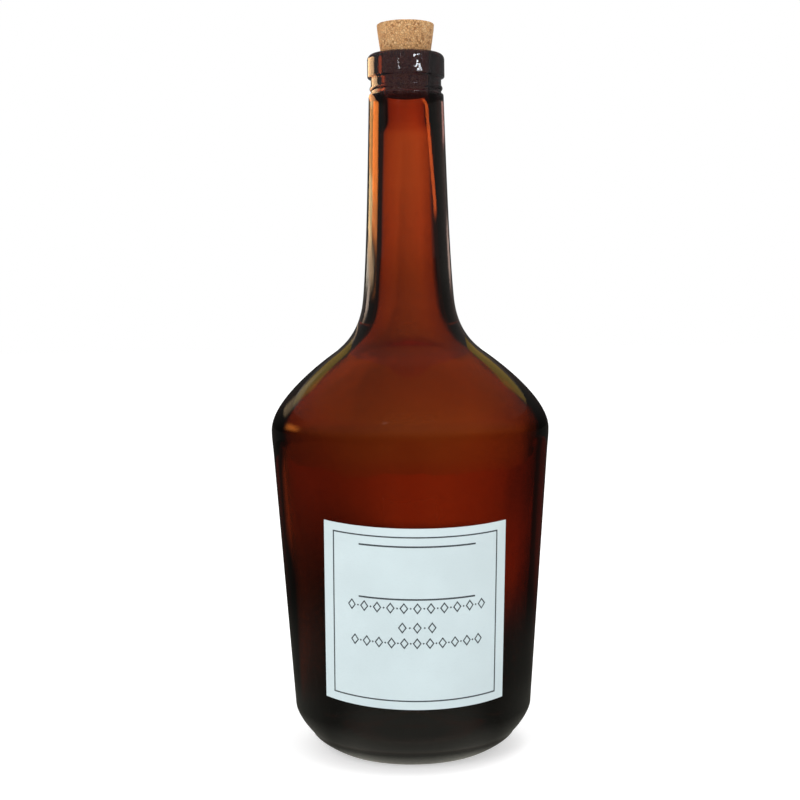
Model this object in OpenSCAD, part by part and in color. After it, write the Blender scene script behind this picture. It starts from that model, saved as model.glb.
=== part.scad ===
// Long-necked bottle of amber glass with a tapered body, a cork stopper and a paper label.
// Z is up. The origin is the centre of the foot, and the label faces -Y.

/* [Body] */
// Height of the glass from the foot to the top of the lip
glass_h = 269.2; // [258:0.2:340]
// Greatest diameter, where the straight side meets the shoulder
shoulder_d = 108.1; // [100:0.1:140]
// Height of the greatest diameter
shoulder_z = 124.8; // [104:0.2:152]
// Diameter of the straight side just above the heel
heel_d = 92.5; // [77:0.1:99]
// Height at which the straight side starts above the heel
heel_z = 17.3; // [14:0.1:21]

/* [Foot] */
// Diameter of the crease between the heel and the foot
crease_d = 80.2; // [74:0.1:88]
// Height of the crease
crease_z = 7.1; // [5:0.1:9]
// Outer diameter of the flat ring that the bottle stands on
stand_d = 60.5; // [50:0.5:70]
// Width of the flat ring
stand_w = 2.5; // [1.5:0.1:5]
// Height of the push-up under the middle of the base
punt_h = 8; // [3:0.5:20]

/* [Shoulder] */
// Diameter at the flattest part of the shoulder
slope_d = 58.8; // [48:0.2:71]
// Height of the flattest part above the greatest diameter
slope_rise = 29.7; // [25:0.1:38]
// Angle of the flattest part from upright
slope_angle = 55; // [45:1:62]
// Height of the foot of the neck above the flattest part
neck_rise = 20.7; // [17:0.1:28]
// How far the side runs on upwards before it turns in
side_turn = 10.5; // [7:0.5:16]
// How far the convex curve runs along the slope
slope_turn = 9.9; // [6:0.1:16]
// How far the concave curve runs along the slope
hollow_turn = 5.1; // [3:0.1:12]
// How far the concave curve runs up the neck
neck_turn = 12.4; // [6:0.2:15]

/* [Neck] */
// Diameter at the foot of the neck
neck_base_d = 35.5; // [32:0.1:44]
// Diameter at the top of the neck
neck_top_d = 29; // [27.5:0.1:35]

/* [Lip] */
// Diameter of the lip
lip_d = 29.8; // [28.5:0.1:36]
// Height of the lip
lip_h = 9.1; // [6:0.1:12]
// Rounding of the lip's upper edge
lip_round = 2.2; // [0.6:0.1:2.6]
// Rounding of the lip's lower edge
lip_under_round = 0.6; // [0.3:0.1:1.5]
// Height of the groove under the lip
groove_h = 2.9; // [1.5:0.1:5]
// Depth of the groove
groove_depth = 1.3; // [0.6:0.1:2]
// Height of the bead below the groove
bead_h = 2.2; // [1.4:0.1:3]
// How far the bead stands out of the groove
bead_out = 0.5; // [0.3:0.05:0.9]
// Height of the mould's parting notch below the bead
notch_h = 0.9; // [0.5:0.1:2]
// Rounding at the top of the neck, below the notch
neck_round = 0.9; // [0.4:0.1:1.2]

/* [Mouth] */
// Diameter of the bore that takes the cork
bore_d = 18.2; // [16:0.1:22.4]
// Depth of the straight bore
bore_depth = 21.5; // [18:0.5:30]
// Rounding of the mouth's inner edge
mouth_round = 0.7; // [0.3:0.1:1]

/* [Wall] */
// Thickness of the body's wall
body_wall = 3.8; // [2.5:0.1:5]
// Thickness of the neck's wall
neck_wall = 4.3; // [2.6:0.1:5.2]
// Thickness of the base above the standing ring
base_wall = 7; // [5:0.5:10]
// Thickness of the base over the push-up
punt_wall = 6; // [4:0.5:10]
// Rounding between the inside of the wall and the floor
floor_round = 14; // [8:0.5:18]

/* [Cork] */
// Length of the cork
cork_h = 28.3; // [24:0.1:40]
// Length of cork that is down in the mouth
cork_seat = 16.8; // [12:0.1:20.8]
// Radial clearance between the cork and the bore
cork_clear = 0.1; // [0.05:0.01:0.3]
// How much the cork swells just above the mouth, on the radius
cork_swell = 0.75; // [0.2:0.05:0.9]
// How much the cork's head is wider than its waist in the mouth, on the radius
cork_flare = 2.1; // [1:0.05:3]
// How much the cork's tip is narrower than its waist, on the radius
cork_taper = 0.65; // [0.3:0.05:2]
// Rounding of the cork's ends
cork_round = 0.5; // [0.3:0.1:2]

/* [Label] */
// Width of the label, measured round the glass
label_w = 72; // [40:1:110]
// Height of the label, measured up the glass
label_h = 67.3; // [40:0.1:84]
// Height of the label's lower edge above the foot
label_z = 25.5; // [20:0.1:32]
// How far the label's corners are cut higher than the middle of its edges
label_bow = 0.8; // [0:0.1:2]
// How far to the right of the front the label is stuck, measured round the glass
label_aside = 0.9; // [-10:0.1:10]
// How far the label leans to the right, in degrees
label_lean = 1; // [-5:0.5:5]
// Thickness of the paper
label_t = 0.2; // [0.1:0.05:0.5]

/* [Hidden] */
$fn = 96;
amber = "#5b2a12";
cork_tan = "#cd9b64";
paper = "#d7e8eb";

// Heights that follow from the sizes above.
slope_z = shoulder_z + slope_rise;
neck_z = slope_z + neck_rise;
lip_z = glass_h - lip_h;
groove_z = lip_z - groove_h;
bead_z = groove_z - bead_h;
neck_top_z = bead_z - notch_h;
groove_r = lip_d / 2 - groove_depth;
// The rounding at the top of the neck stops at the notch.
neck_edge = max(min(neck_round, neck_top_d / 2 - groove_r), 0.1);
bore_z = glass_h - bore_depth;
// Height over which the straight side eases to upright under the shoulder.
side_ease = 9;
// Slopes of the neck, radius for height, at its foot and at its top, and how far the lower one
// is felt up the neck.
neck_lean = [0.1, 0.027];
neck_ease = 16;

// The straight side as a cone: its radius at a height, and its angle from upright.
side_slope = (shoulder_d - heel_d) / 2 / (shoulder_z - heel_z);
side_angle = atan(side_slope);
function side_r(z) = heel_d / 2 + (z - heel_z) * side_slope;

// Points of an arc about c, from angle a to angle b.
function arc(c, r, a, b, n = 5) =
    [for (i = [0 : n]) c + r * [cos(a + (b - a) * i / n), sin(a + (b - a) * i / n)]];

// Points of a cubic curve from p to s with the handles q and r, without its last point.
function curve(p, q, r, s, n = 8) =
    [for (i = [0 : n - 1]) let (t = i / n, u = 1 - t)
        u * u * u * p + 3 * u * u * t * q + 3 * u * t * t * r + t * t * t * s];

function unit(v) = v / norm(v);
function between(a, b, t) = a + (b - a) * min(max(t, 0), 1);

// Corner points of the outside, as [radius, height].
crease = [crease_d / 2, crease_z];
heel = [side_r(heel_z), heel_z];
side_end = [side_r(shoulder_z - side_ease), shoulder_z - side_ease];
widest = [shoulder_d / 2, shoulder_z];
slope = [slope_d / 2, slope_z];
neck_base = [neck_base_d / 2, neck_z];
neck_top = [neck_top_d / 2, neck_top_z - neck_edge];

side_way = unit([side_slope, 1]);
slope_way = [-sin(slope_angle), cos(slope_angle)];
neck_base_way = unit([-neck_lean[0], 1]);
neck_top_way = unit([-neck_lean[1], 1]);
up = [0, 1];

// The outside from the heel to the top of the neck: the part that the inside runs along with.
wall_line = concat(
    curve(side_end, side_end + side_way * side_ease / 3, widest - up * side_ease / 3, widest, 3),
    curve(widest, widest + up * side_turn, slope - slope_way * slope_turn, slope, 10),
    curve(slope, slope + slope_way * hollow_turn,
        neck_base - neck_base_way * neck_turn, neck_base, 10),
    curve(neck_base, neck_base + neck_base_way * neck_ease,
        neck_top - neck_top_way * (neck_top_z - neck_z) / 3, neck_top, 8)
);

// Wall thickness at a height: the body's up to the widest part, then easing to the neck's.
function wall_at(z) = between(body_wall, neck_wall, (z - shoulder_z) / (neck_z - shoulder_z));

// A point of the wall line moved inwards, square to the line, by the wall's thickness.
function inner_point(i) =
    let (
        before = wall_line[max(i - 1, 0)],
        after = wall_line[min(i + 1, len(wall_line) - 1)],
        way = unit(after - before)
    )
    wall_line[i] + wall_at(wall_line[i][1]) * [-way[1], way[0]];

// The inside of the same stretch, up to where the bore starts to narrow.
bore_ease = 10;
inner_line = [
    for (i = [0 : len(wall_line) - 1])
        let (p = inner_point(i))
        if (p[1] < bore_z - bore_ease) p
];
inner_end = inner_line[len(inner_line) - 1];
side_in = body_wall / cos(side_angle);

// The foot: push-up, standing ring and the roll up to the crease.
stand_r = stand_d / 2;
punt_r = stand_r - stand_w;
punt_edge = 1;
crease_pull = [0.7, 2.8];
foot_line = concat(
    curve([0, punt_h], [punt_r / 2, punt_h], [punt_r - 2, punt_edge], [punt_r, 0], 8),
    [[punt_r, 0]],
    curve([stand_r, 0], [stand_r + 0.5, 0], crease - crease_pull, crease, 6)
);

// The heel, from the crease to the straight side.
heel_turn = 2.8;
heel_roll = 3.6;
heel_line = concat(
    curve(crease, crease + unit([1, 1]) * heel_roll, heel - side_way * heel_turn, heel, 7),
    [heel]
);

// The finish: neck edge, parting notch, bead, groove and lip.
lip_r = lip_d / 2;
bead_r = bead_h / 2;
bead_mid = [groove_r + bead_out - bead_r, bead_z + bead_r];
bead_turn = acos((bead_r - bead_out) / bead_r);
// The lip's lower rounding leaves room for the one in the corner above the groove.
under_round = min(lip_under_round, groove_depth * 0.45);
finish_line = concat(
    arc(neck_top - [neck_edge, 0], neck_edge, 0, 90, 4),
    [[groove_r, neck_top_z]],
    arc(bead_mid, bead_r, -bead_turn, bead_turn, 6),
    arc([groove_r + under_round, lip_z - under_round], under_round, 180, 90, 3),
    arc([lip_r - under_round, lip_z + under_round], under_round, -90, 0, 3),
    arc([lip_r - lip_round, glass_h - lip_round], lip_round, 0, 90, 4)
);

// The mouth and bore, down to where the neck's own inside begins.
bore_r = bore_d / 2;
mouth_line = concat(
    arc([bore_r + mouth_round, glass_h - mouth_round], mouth_round, 90, 180, 3),
    curve([bore_r, bore_z], [bore_r, bore_z - bore_ease / 2],
        inner_end + up * bore_ease / 3, inner_end, 5)
);

// The floor inside: a rounded corner, then a low dome that follows the push-up.
floor_edge = side_r(base_wall + floor_round) - side_in;
floor_line = concat(
    arc([floor_edge - floor_round, base_wall + floor_round], floor_round, 0, -75, 5),
    curve([floor_edge - floor_round - 2, base_wall], [punt_r / 2, base_wall],
        [punt_r / 3, punt_h + punt_wall], [0, punt_h + punt_wall], 7),
    [[0, punt_h + punt_wall]]
);

function backwards(list) = [for (i = [len(list) - 1 : -1 : 0]) list[i]];

module glass_bottle() {
    color(amber, 0.85)
    rotate_extrude()
    polygon(concat(foot_line, heel_line, wall_line, finish_line, mouth_line,
        backwards(inner_line), floor_line));
}

// The cork: a tapered plug squeezed to the bore in the mouth, with a wider head above it.
cork_z = glass_h - cork_seat;
cork_top_z = cork_z + cork_h;
waist_r = bore_r - cork_clear;
cork_head_r = waist_r + cork_flare;
cork_tip_r = waist_r - cork_taper;

// The side swells out over the rounded edge of the mouth, then widens to the head.
head_h = cork_h - cork_seat - cork_round;
swell_h = 0.6;
waist = [waist_r, glass_h - mouth_round];
swell = [waist_r + cork_swell, glass_h + swell_h];
head = [cork_head_r, glass_h + head_h];
cork_side = concat(
    curve(waist, waist + up * mouth_round * 0.65, [waist_r + cork_swell * 0.6, glass_h], swell, 5),
    curve(swell, swell + [cork_swell * 0.4, head_h * 0.25], head - [0.25, head_h * 0.3], head, 6)
);

module cork_stopper() {
    color(cork_tan)
    rotate_extrude()
    polygon(concat(
        [[0, cork_z]],
        arc([cork_tip_r - cork_round, cork_z + cork_round], cork_round, -90, 0, 4),
        cork_side,
        arc([cork_head_r - cork_round, cork_top_z - cork_round], cork_round, 0, 90, 4),
        [[0, cork_top_z]]
    ));
}

// A point of the flat label, u across and v up from the middle of its lower edge, leant about
// its own middle, rolled on to the cone of the side and seen from the front, as [x, z].
cone_tip_z = heel_z - heel_d / 2 / side_slope;
label_mid = (label_z - cone_tip_z) / cos(side_angle) + label_h / 2;
function rolled(u, v) =
    let (
        rise = v - label_h / 2 + label_bow * pow(2 * u / label_w, 2),
        across = label_aside + u * cos(label_lean) + rise * sin(label_lean),
        up_cone = label_mid + rise * cos(label_lean) - u * sin(label_lean),
        along = sqrt(across * across + up_cone * up_cone),
        turn = atan(across / up_cone) / sin(side_angle)
    )
    [along * sin(side_angle) * sin(turn), cone_tip_z + along * cos(side_angle)];

label_steps = 16;
label_outline = concat(
    [for (i = [0 : label_steps]) rolled(label_w * (i / label_steps - 0.5), 0)],
    [for (i = [label_steps : -1 : 0]) rolled(label_w * (i / label_steps - 0.5), label_h)]
);

module side_sleeve(from_z, to_z, thick) {
    rotate_extrude()
    polygon([
        [side_r(from_z), from_z],
        [side_r(from_z) + thick, from_z],
        [side_r(to_z) + thick, to_z],
        [side_r(to_z), to_z]
    ]);
}

module front_label() {
    color(paper)
    intersection() {
        side_sleeve(heel_z + 1, shoulder_z - side_ease, label_t);
        rotate([90, 0, 0])
        linear_extrude(height = shoulder_d)
        polygon(label_outline);
    }
}

glass_bottle();
cork_stopper();
front_label();
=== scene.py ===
"""Amber glass bottle with a cork stopper and a paper label, modelled round its packed frame.

Sizes are metres. Z is up, the origin is the centre of the foot and the label faces -Y.
"""

import math

import bmesh
import bpy
from bpy.props import FloatProperty, FloatVectorProperty, IntProperty, PointerProperty
from mathutils import Matrix, Vector


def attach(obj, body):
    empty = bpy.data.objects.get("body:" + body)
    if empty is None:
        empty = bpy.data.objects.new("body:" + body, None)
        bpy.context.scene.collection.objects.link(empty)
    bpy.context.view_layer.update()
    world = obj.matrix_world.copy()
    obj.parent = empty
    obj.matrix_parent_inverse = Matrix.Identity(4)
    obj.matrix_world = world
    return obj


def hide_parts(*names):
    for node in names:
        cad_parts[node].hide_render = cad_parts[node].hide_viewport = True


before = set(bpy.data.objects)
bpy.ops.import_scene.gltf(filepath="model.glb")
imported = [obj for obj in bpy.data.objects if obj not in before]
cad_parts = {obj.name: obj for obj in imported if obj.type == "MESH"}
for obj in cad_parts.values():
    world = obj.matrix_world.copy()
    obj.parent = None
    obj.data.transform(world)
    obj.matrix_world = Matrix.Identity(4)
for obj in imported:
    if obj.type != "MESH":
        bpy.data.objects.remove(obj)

bl_info = {
    "name": "Amber Bottle",
    "version": (1, 0, 0),
    "blender": (4, 5, 0),
    "location": "View3D > Sidebar > Bottle",
    "description": "Models an amber glass bottle with its cork and label",
    "category": "Object",
}

MM = 0.001
UP = Vector((0, 1))
WHITE = (1, 1, 1, 1)
# Points of a section closer than this are left out or welded together.
SHORTEST_STEP = 0.01 * MM
WELD = 0.004 * MM
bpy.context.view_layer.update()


# ---------------- settings


def length(name, mm, text):
    """A size of the object, given in millimetres and kept in metres."""
    return FloatProperty(name=name, description=text, default=mm * MM, unit="LENGTH", precision=5)


def tint(name, rgb, text):
    """A colour in linear light."""
    return FloatVectorProperty(
        name=name, description=text, default=rgb, size=3, min=0, max=1, subtype="COLOR"
    )


def angle(name, degrees, text):
    return FloatProperty(
        name=name, description=text, default=math.radians(degrees), subtype="ANGLE"
    )


def amount(name, value, text):
    return FloatProperty(name=name, description=text, default=value)


class BottleGlass(bpy.types.PropertyGroup):
    """Sizes and colour of the glass."""

    glass_h: length("Height", 269.2, "From the foot to the top of the lip")
    shoulder_d: length("Greatest diameter", 108.1, "Where the side meets the shoulder")
    shoulder_z: length("Shoulder height", 124.8, "Height of the greatest diameter")
    heel_d: length("Heel diameter", 92.5, "Diameter of the straight side above the heel")
    heel_z: length("Heel height", 17.3, "Where the straight side starts")
    crease_d: length("Crease diameter", 80.2, "Crease between the heel and the foot")
    crease_z: length("Crease height", 7.1, "Height of that crease")
    stand_d: length("Foot diameter", 60.5, "Outer diameter of the standing ring")
    stand_w: length("Foot width", 2.5, "Width of the standing ring")
    punt_h: length("Push-up", 8, "Height of the push-up under the base")
    slope_d: length("Slope diameter", 58.8, "Diameter at the flattest part of the shoulder")
    slope_rise: length("Slope rise", 29.7, "Its height above the greatest diameter")
    slope_angle: angle("Slope angle", 55, "Angle of the flattest part from upright")
    side_turn: length("Side turn", 10.5, "How far the side runs on before it turns in")
    slope_turn: length("Slope turn", 9.9, "How far the convex curve runs along the slope")
    hollow_turn: length("Hollow turn", 5.1, "How far the concave curve runs along the slope")
    neck_turn: length("Neck turn", 12.4, "How far the concave curve runs up the neck")
    neck_rise: length("Neck rise", 20.7, "Foot of the neck above the slope")
    neck_base_d: length("Neck foot diameter", 35.5, "Diameter at the foot of the neck")
    neck_top_d: length("Neck top diameter", 29, "Diameter at the top of the neck")
    lip_d: length("Lip diameter", 29.8, "Diameter of the lip")
    lip_h: length("Lip height", 9.1, "Height of the lip")
    lip_round: length("Lip rounding", 2.2, "Rounding of the lip's upper edge")
    groove_h: length("Groove height", 2.9, "Height of the groove under the lip")
    groove_depth: length("Groove depth", 1.3, "Depth of the groove")
    bead_h: length("Bead height", 2.2, "Height of the bead below the groove")
    bead_out: length("Bead width", 0.5, "How far the bead stands out of the groove")
    notch_h: length("Notch height", 0.9, "Height of the notch below the bead")
    bore_d: length("Bore diameter", 18.2, "Diameter of the bore that takes the cork")
    bore_depth: length("Bore depth", 21.5, "Depth of the straight bore")
    body_wall: length("Body wall", 3.8, "Thickness of the body's wall")
    neck_wall: length("Neck wall", 4.3, "Thickness of the neck's wall")
    base_wall: length("Base wall", 7, "Thickness of the base above the standing ring")
    punt_wall: length("Push-up wall", 6, "Thickness of the base over the push-up")
    floor_round: length("Floor rounding", 14, "Rounding between the wall and the floor inside")
    wave: length("Waviness", 0.3, "How uneven the inside of the glass is")
    steps: IntProperty(name="Steps", description="Faces round the glass", default=144, min=32)
    colour: tint("Colour", (0.772, 0.4, 0.067), "Light that the glass lets through")
    density: amount("Density", 600, "How strongly the glass takes up light, per metre")


class BottleCork(bpy.types.PropertyGroup):
    """Sizes and colours of the cork."""

    length: length("Length", 28.3, "Length of the cork")
    seat: length("Seat", 16.8, "Length of cork that is down in the mouth")
    clear: length("Clearance", 0.1, "Radial clearance between the cork and the bore")
    swell: length("Swell", 0.75, "How much it swells just above the mouth, on the radius")
    flare: length("Flare", 2.1, "How much the head is wider than the waist, on the radius")
    taper: length("Taper", 0.65, "How much the tip is narrower than the waist, on the radius")
    edge: length("Edge rounding", 0.5, "Rounding of the cork's ends")
    granule: length("Granule", 0.9, "Size of the cork granules")
    relief: length("Relief", 0.07, "How deep the joints between granules are")
    tan: tint("Tan", (0.78, 0.43, 0.178), "Main colour of the granules")
    dark: tint("Dark", (0.39, 0.165, 0.052), "Colour of the darkest granules")
    pale: tint("Pale", (0.9, 0.58, 0.28), "Colour of the palest granules")


class BottleLabel(bpy.types.PropertyGroup):
    """Sizes and colours of the label and of its print."""

    width: length("Width", 72, "Width of the label, measured round the glass")
    height: length("Height", 67.3, "Height of the label, measured up the glass")
    low: length("Lower edge", 25.5, "Height of the lower edge above the foot")
    bow: length("Bow", 0.8, "How much higher the corners are than the middle of the edges")
    aside: length("Aside", 0.9, "How far to the right of the front the label is stuck")
    lean: angle("Lean", 1, "How far the label leans to the right")
    thick: length("Thickness", 0.2, "Thickness of the paper")
    margin: length("Side margin", 4.1, "Bare paper beside the border line")
    margin_z: length("Upper margin", 3, "Bare paper above and below the border line")
    line: length("Line", 0.5, "Width of the border line")
    rule: length("Rule", 0.6, "Width of the two short rules")
    rule_l: length("Rule length", 43.5, "Length of the two short rules")
    shift: length("Print shift", 0.6, "How far the rules and ornament sit to the right")
    ink_t: length("Ink", 0.04, "Thickness of the print")
    paper: tint("Paper", (0.68, 0.8, 0.825), "Colour of the paper")
    ink: tint("Ink", (0.055, 0.07, 0.08), "Colour of the print")


class BottleStudio(bpy.types.PropertyGroup):
    """Camera and light."""

    away: length("Distance", 573, "From the camera to the bottle's axis")
    eye: length("Eye height", 170.8, "Height of the camera above the floor")
    aside: length("Aside", -3.8, "How far the camera stands to the side")
    pitch: angle("Pitch", 3.5, "How far the camera looks down")
    roll: angle("Roll", -0.7, "How far the camera leans")
    lens: amount("Lens", 66.0, "Focal length in millimetres")
    room: amount("Room light", 0.84, "Strength of the soft light from all round")
    key: amount("Key lamp", 3.9, "Power of the lamp in front, in watts")


# ---------------- profile tools


def spot(r, z):
    """A point of a section, by radius and height."""
    return Vector((r, z))


def arc(centre, radius, start, end, n):
    """Points of an arc from one angle to another, in degrees."""
    angles = [math.radians(start + (end - start) * i / n) for i in range(n + 1)]
    return [centre + radius * Vector((math.cos(a), math.sin(a))) for a in angles]


def curve(p, q, r, s, n):
    """Points of a cubic curve from p to s with the handles q and r, without its last point."""
    points = []
    for i in range(n):
        t, u = i / n, 1 - i / n
        points.append(u**3 * p + 3 * u * u * t * q + 3 * u * t * t * r + t**3 * s)
    return points


class GlassProfile:
    """The bottle's section, as points of radius and height."""

    side_ease = 9 * MM
    neck_ease = 16 * MM
    bore_ease = 10 * MM
    neck_lean = (0.1, 0.027)
    neck_round = 0.9 * MM
    mouth_round = 0.7 * MM
    under_round = 0.585 * MM
    punt_in = 2 * MM
    punt_edge = 1 * MM
    foot_round = 0.5 * MM
    crease_pull = spot(0.7, 2.8) * MM
    heel_roll = 3.6 * MM
    heel_turn = 2.8 * MM
    floor_turn = 75
    floor_in = 2 * MM
    # Points of each curve, from the foot up and down again inside.
    punt_n, foot_n, heel_n, side_n, shoulder_n, hollow_n, neck_n = 14, 10, 14, 5, 22, 20, 16
    edge_n, bead_n, under_n, lip_n, mouth_n, bore_n, floor_n = 6, 10, 5, 8, 6, 8, 12

    def __init__(self, g):
        self.g = g
        self.side_slope = (g.shoulder_d - g.heel_d) / 2 / (g.shoulder_z - g.heel_z)
        self.side_angle = math.atan(self.side_slope)
        self.slope_z = g.shoulder_z + g.slope_rise
        self.neck_z = self.slope_z + g.neck_rise
        self.lip_z = g.glass_h - g.lip_h
        self.groove_z = self.lip_z - g.groove_h
        self.bead_z = self.groove_z - g.bead_h
        self.neck_top_z = self.bead_z - g.notch_h
        self.bore_z = g.glass_h - g.bore_depth
        self.side_way = spot(self.side_slope, 1).normalized()

    def side_r(self, z):
        """Radius of the straight side at a height."""
        return self.g.heel_d / 2 + (z - self.g.heel_z) * self.side_slope

    def wall_line(self):
        """The outside from the top of the straight side to the top of the neck."""
        g = self.g
        turn_z = g.shoulder_z - self.side_ease
        side_end = spot(self.side_r(turn_z), turn_z)
        widest = spot(g.shoulder_d / 2, g.shoulder_z)
        slope = spot(g.slope_d / 2, self.slope_z)
        slope_way = spot(-math.sin(g.slope_angle), math.cos(g.slope_angle))
        base = spot(g.neck_base_d / 2, self.neck_z)
        top = spot(g.neck_top_d / 2, self.neck_top_z - self.neck_round)
        base_way = spot(-self.neck_lean[0], 1).normalized()
        top_way = spot(-self.neck_lean[1], 1).normalized()
        ease = self.side_ease / 3
        along = self.side_way * ease
        rise = top_way * (self.neck_top_z - self.neck_z) / 3
        turn, into = UP * g.side_turn, slope_way * g.slope_turn
        out, onto = slope_way * g.hollow_turn, base_way * g.neck_turn
        return (
            curve(side_end, side_end + along, widest - UP * ease, widest, self.side_n)
            + curve(widest, widest + turn, slope - into, slope, self.shoulder_n)
            + curve(slope, slope + out, base - onto, base, self.hollow_n)
            + curve(base, base + base_way * self.neck_ease, top - rise, top, self.neck_n)
        )

    def wall_at(self, z):
        """Thickness of the wall at a height."""
        t = (z - self.g.shoulder_z) / (self.neck_z - self.g.shoulder_z)
        return self.g.body_wall + (self.g.neck_wall - self.g.body_wall) * min(max(t, 0), 1)

    def inner_line(self):
        """The wall line moved inwards by the wall, up to where the bore starts to narrow."""
        outer = self.wall_line()
        points = []
        for i, p in enumerate(outer):
            way = (outer[min(i + 1, len(outer) - 1)] - outer[max(i - 1, 0)]).normalized()
            inner = p + self.wall_at(p.y) * spot(-way.y, way.x)
            if inner.y < self.bore_z - self.bore_ease:
                points.append(inner)
        return points

    def foot_line(self):
        """Push-up, standing ring and the roll up to the crease."""
        g = self.g
        stand = g.stand_d / 2
        punt = stand - g.stand_w
        crease = spot(g.crease_d / 2, g.crease_z)
        return (
            curve(
                spot(0, g.punt_h), spot(punt / 2, g.punt_h),
                spot(punt - self.punt_in, self.punt_edge), spot(punt, 0), self.punt_n,
            )
            + [spot(punt, 0)]
            + curve(
                spot(stand, 0), spot(stand + self.foot_round, 0),
                crease - self.crease_pull, crease, self.foot_n,
            )
        )

    def heel_line(self):
        """The heel, from the crease to the straight side."""
        g = self.g
        crease = spot(g.crease_d / 2, g.crease_z)
        heel = spot(self.side_r(g.heel_z), g.heel_z)
        roll = spot(1, 1).normalized() * self.heel_roll
        turn = self.side_way * self.heel_turn
        return curve(crease, crease + roll, heel - turn, heel, self.heel_n) + [heel]

    def finish_line(self):
        """Neck edge, parting notch, bead, groove and lip."""
        g = self.g
        lip = g.lip_d / 2
        groove = lip - g.groove_depth
        bead = g.bead_h / 2
        bead_mid = spot(groove + g.bead_out - bead, self.bead_z + bead)
        turn = math.degrees(math.acos((bead - g.bead_out) / bead))
        neck = spot(g.neck_top_d / 2 - self.neck_round, self.neck_top_z - self.neck_round)
        top = spot(lip - g.lip_round, g.glass_h - g.lip_round)
        under = self.under_round
        return (
            arc(neck, self.neck_round, 0, 90, self.edge_n)
            + [spot(groove, self.neck_top_z)]
            + arc(bead_mid, bead, -turn, turn, self.bead_n)
            + arc(spot(groove + under, self.lip_z - under), under, 180, 90, self.under_n)
            + arc(spot(lip - under, self.lip_z + under), under, -90, 0, self.under_n)
            + arc(top, g.lip_round, 0, 90, self.lip_n)
        )

    def mouth_line(self, inner_end):
        """Mouth and bore, down to where the neck's own inside begins."""
        g = self.g
        bore = g.bore_d / 2
        mouth = spot(bore + self.mouth_round, g.glass_h - self.mouth_round)
        low = spot(bore, self.bore_z)
        ease = UP * self.bore_ease
        return arc(mouth, self.mouth_round, 90, 180, self.mouth_n) + curve(
            low, low - ease / 2, inner_end + ease / 3, inner_end, self.bore_n
        )

    def floor_line(self):
        """The floor inside: a rounded corner, then a low dome over the push-up."""
        g = self.g
        low = g.base_wall + g.floor_round
        turn_r = self.side_r(low) - g.body_wall / math.cos(self.side_angle) - g.floor_round
        dome = g.punt_h + g.punt_wall
        punt = g.stand_d / 2 - g.stand_w
        return (
            arc(spot(turn_r, low), g.floor_round, 0, -self.floor_turn, self.floor_n)
            + curve(
                spot(turn_r - self.floor_in, g.base_wall), spot(punt / 2, g.base_wall),
                spot(punt / 3, dome), spot(0, dome), self.floor_n,
            )
            + [spot(0, dome)]
        )

    def section(self):
        """The whole section, from the middle of the push-up round to the floor inside."""
        inner = self.inner_line()
        return (
            self.foot_line()
            + self.heel_line()
            + self.wall_line()
            + self.finish_line()
            + self.mouth_line(inner[-1])
            + inner[::-1]
            + self.floor_line()
        )


# ---------------- modelling tools


def deselect():
    bpy.ops.object.select_all(action="DESELECT")


def pick(*pieces):
    """Selects these pieces alone and makes the first one active."""
    deselect()
    for piece in pieces:
        piece.select_set(True)
    bpy.context.view_layer.objects.active = pieces[0]


def named(name):
    """Names the active piece."""
    piece = bpy.context.object
    piece.name = name
    piece.data.name = name
    return piece


def add(name, primitive, **settings):
    """Adds a primitive at the origin as the one selected piece, and names it."""
    deselect()
    primitive(location=(0, 0, 0), **settings)
    return named(name)


def into_edit(mode):
    """Opens the active piece for editing by one kind of element, with all of it selected."""
    bpy.ops.object.mode_set(mode="EDIT")
    bpy.ops.mesh.select_mode(type=mode)
    bpy.ops.mesh.select_all(action="SELECT")


def out_of_edit():
    bpy.ops.object.mode_set(mode="OBJECT")


def hide(piece, *rays):
    """Hides a piece from some kinds of ray."""
    for ray in rays:
        setattr(piece, "visible_" + ray, False)


def select(piece, parts, test):
    """Selects the verts or faces of the piece in edit mode that pass a test."""
    mesh = bmesh.from_edit_mesh(piece.data)
    for part in getattr(mesh, parts):
        part.select_set(bool(test(part)))
    mesh.select_flush_mode()
    bmesh.update_edit_mesh(piece.data)


def turn_section(name, points, steps):
    """A solid turned round Z from a section: one vertex is extruded along it and spun."""
    start = points[0]
    piece = add(name, bpy.ops.mesh.primitive_plane_add, size=MM)
    into_edit("VERT")
    bpy.ops.mesh.merge(type="CENTER")
    bpy.ops.transform.translate(value=(start.x, 0, start.y))
    for here, there in zip(points, points[1:]):
        step = there - here
        if step.length > SHORTEST_STEP:
            bpy.ops.mesh.extrude_region_move(
                TRANSFORM_OT_translate={"value": (step.x, 0, step.y)}
            )
    bpy.ops.mesh.select_all(action="SELECT")
    bpy.ops.mesh.spin(
        steps=steps, angle=2 * math.pi, center=(0, 0, 0), axis=(0, 0, 1), use_auto_merge=True
    )
    bpy.ops.mesh.select_all(action="SELECT")
    bpy.ops.mesh.remove_doubles(threshold=WELD)
    bpy.ops.mesh.normals_make_consistent(inside=False)
    out_of_edit()
    return piece


def displace(piece, name, kind, size, strength, mid_level=0.0, group=""):
    """Adds a modifier that moves the surface along its normals by a solid texture."""
    texture = bpy.data.textures.new(name, kind)
    texture.noise_scale = size
    if kind == "CLOUDS":
        texture.noise_depth = 1
    move = piece.modifiers.new(name, "DISPLACE")
    move.texture = texture
    move.texture_coords = "LOCAL"
    move.direction = "NORMAL"
    move.vertex_group = group
    move.mid_level = mid_level
    move.strength = strength


def apply_modifiers(piece):
    """Applies every modifier of the piece in order."""
    pick(piece)
    for name in [m.name for m in piece.modifiers]:
        bpy.ops.object.modifier_apply(modifier=name)


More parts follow.
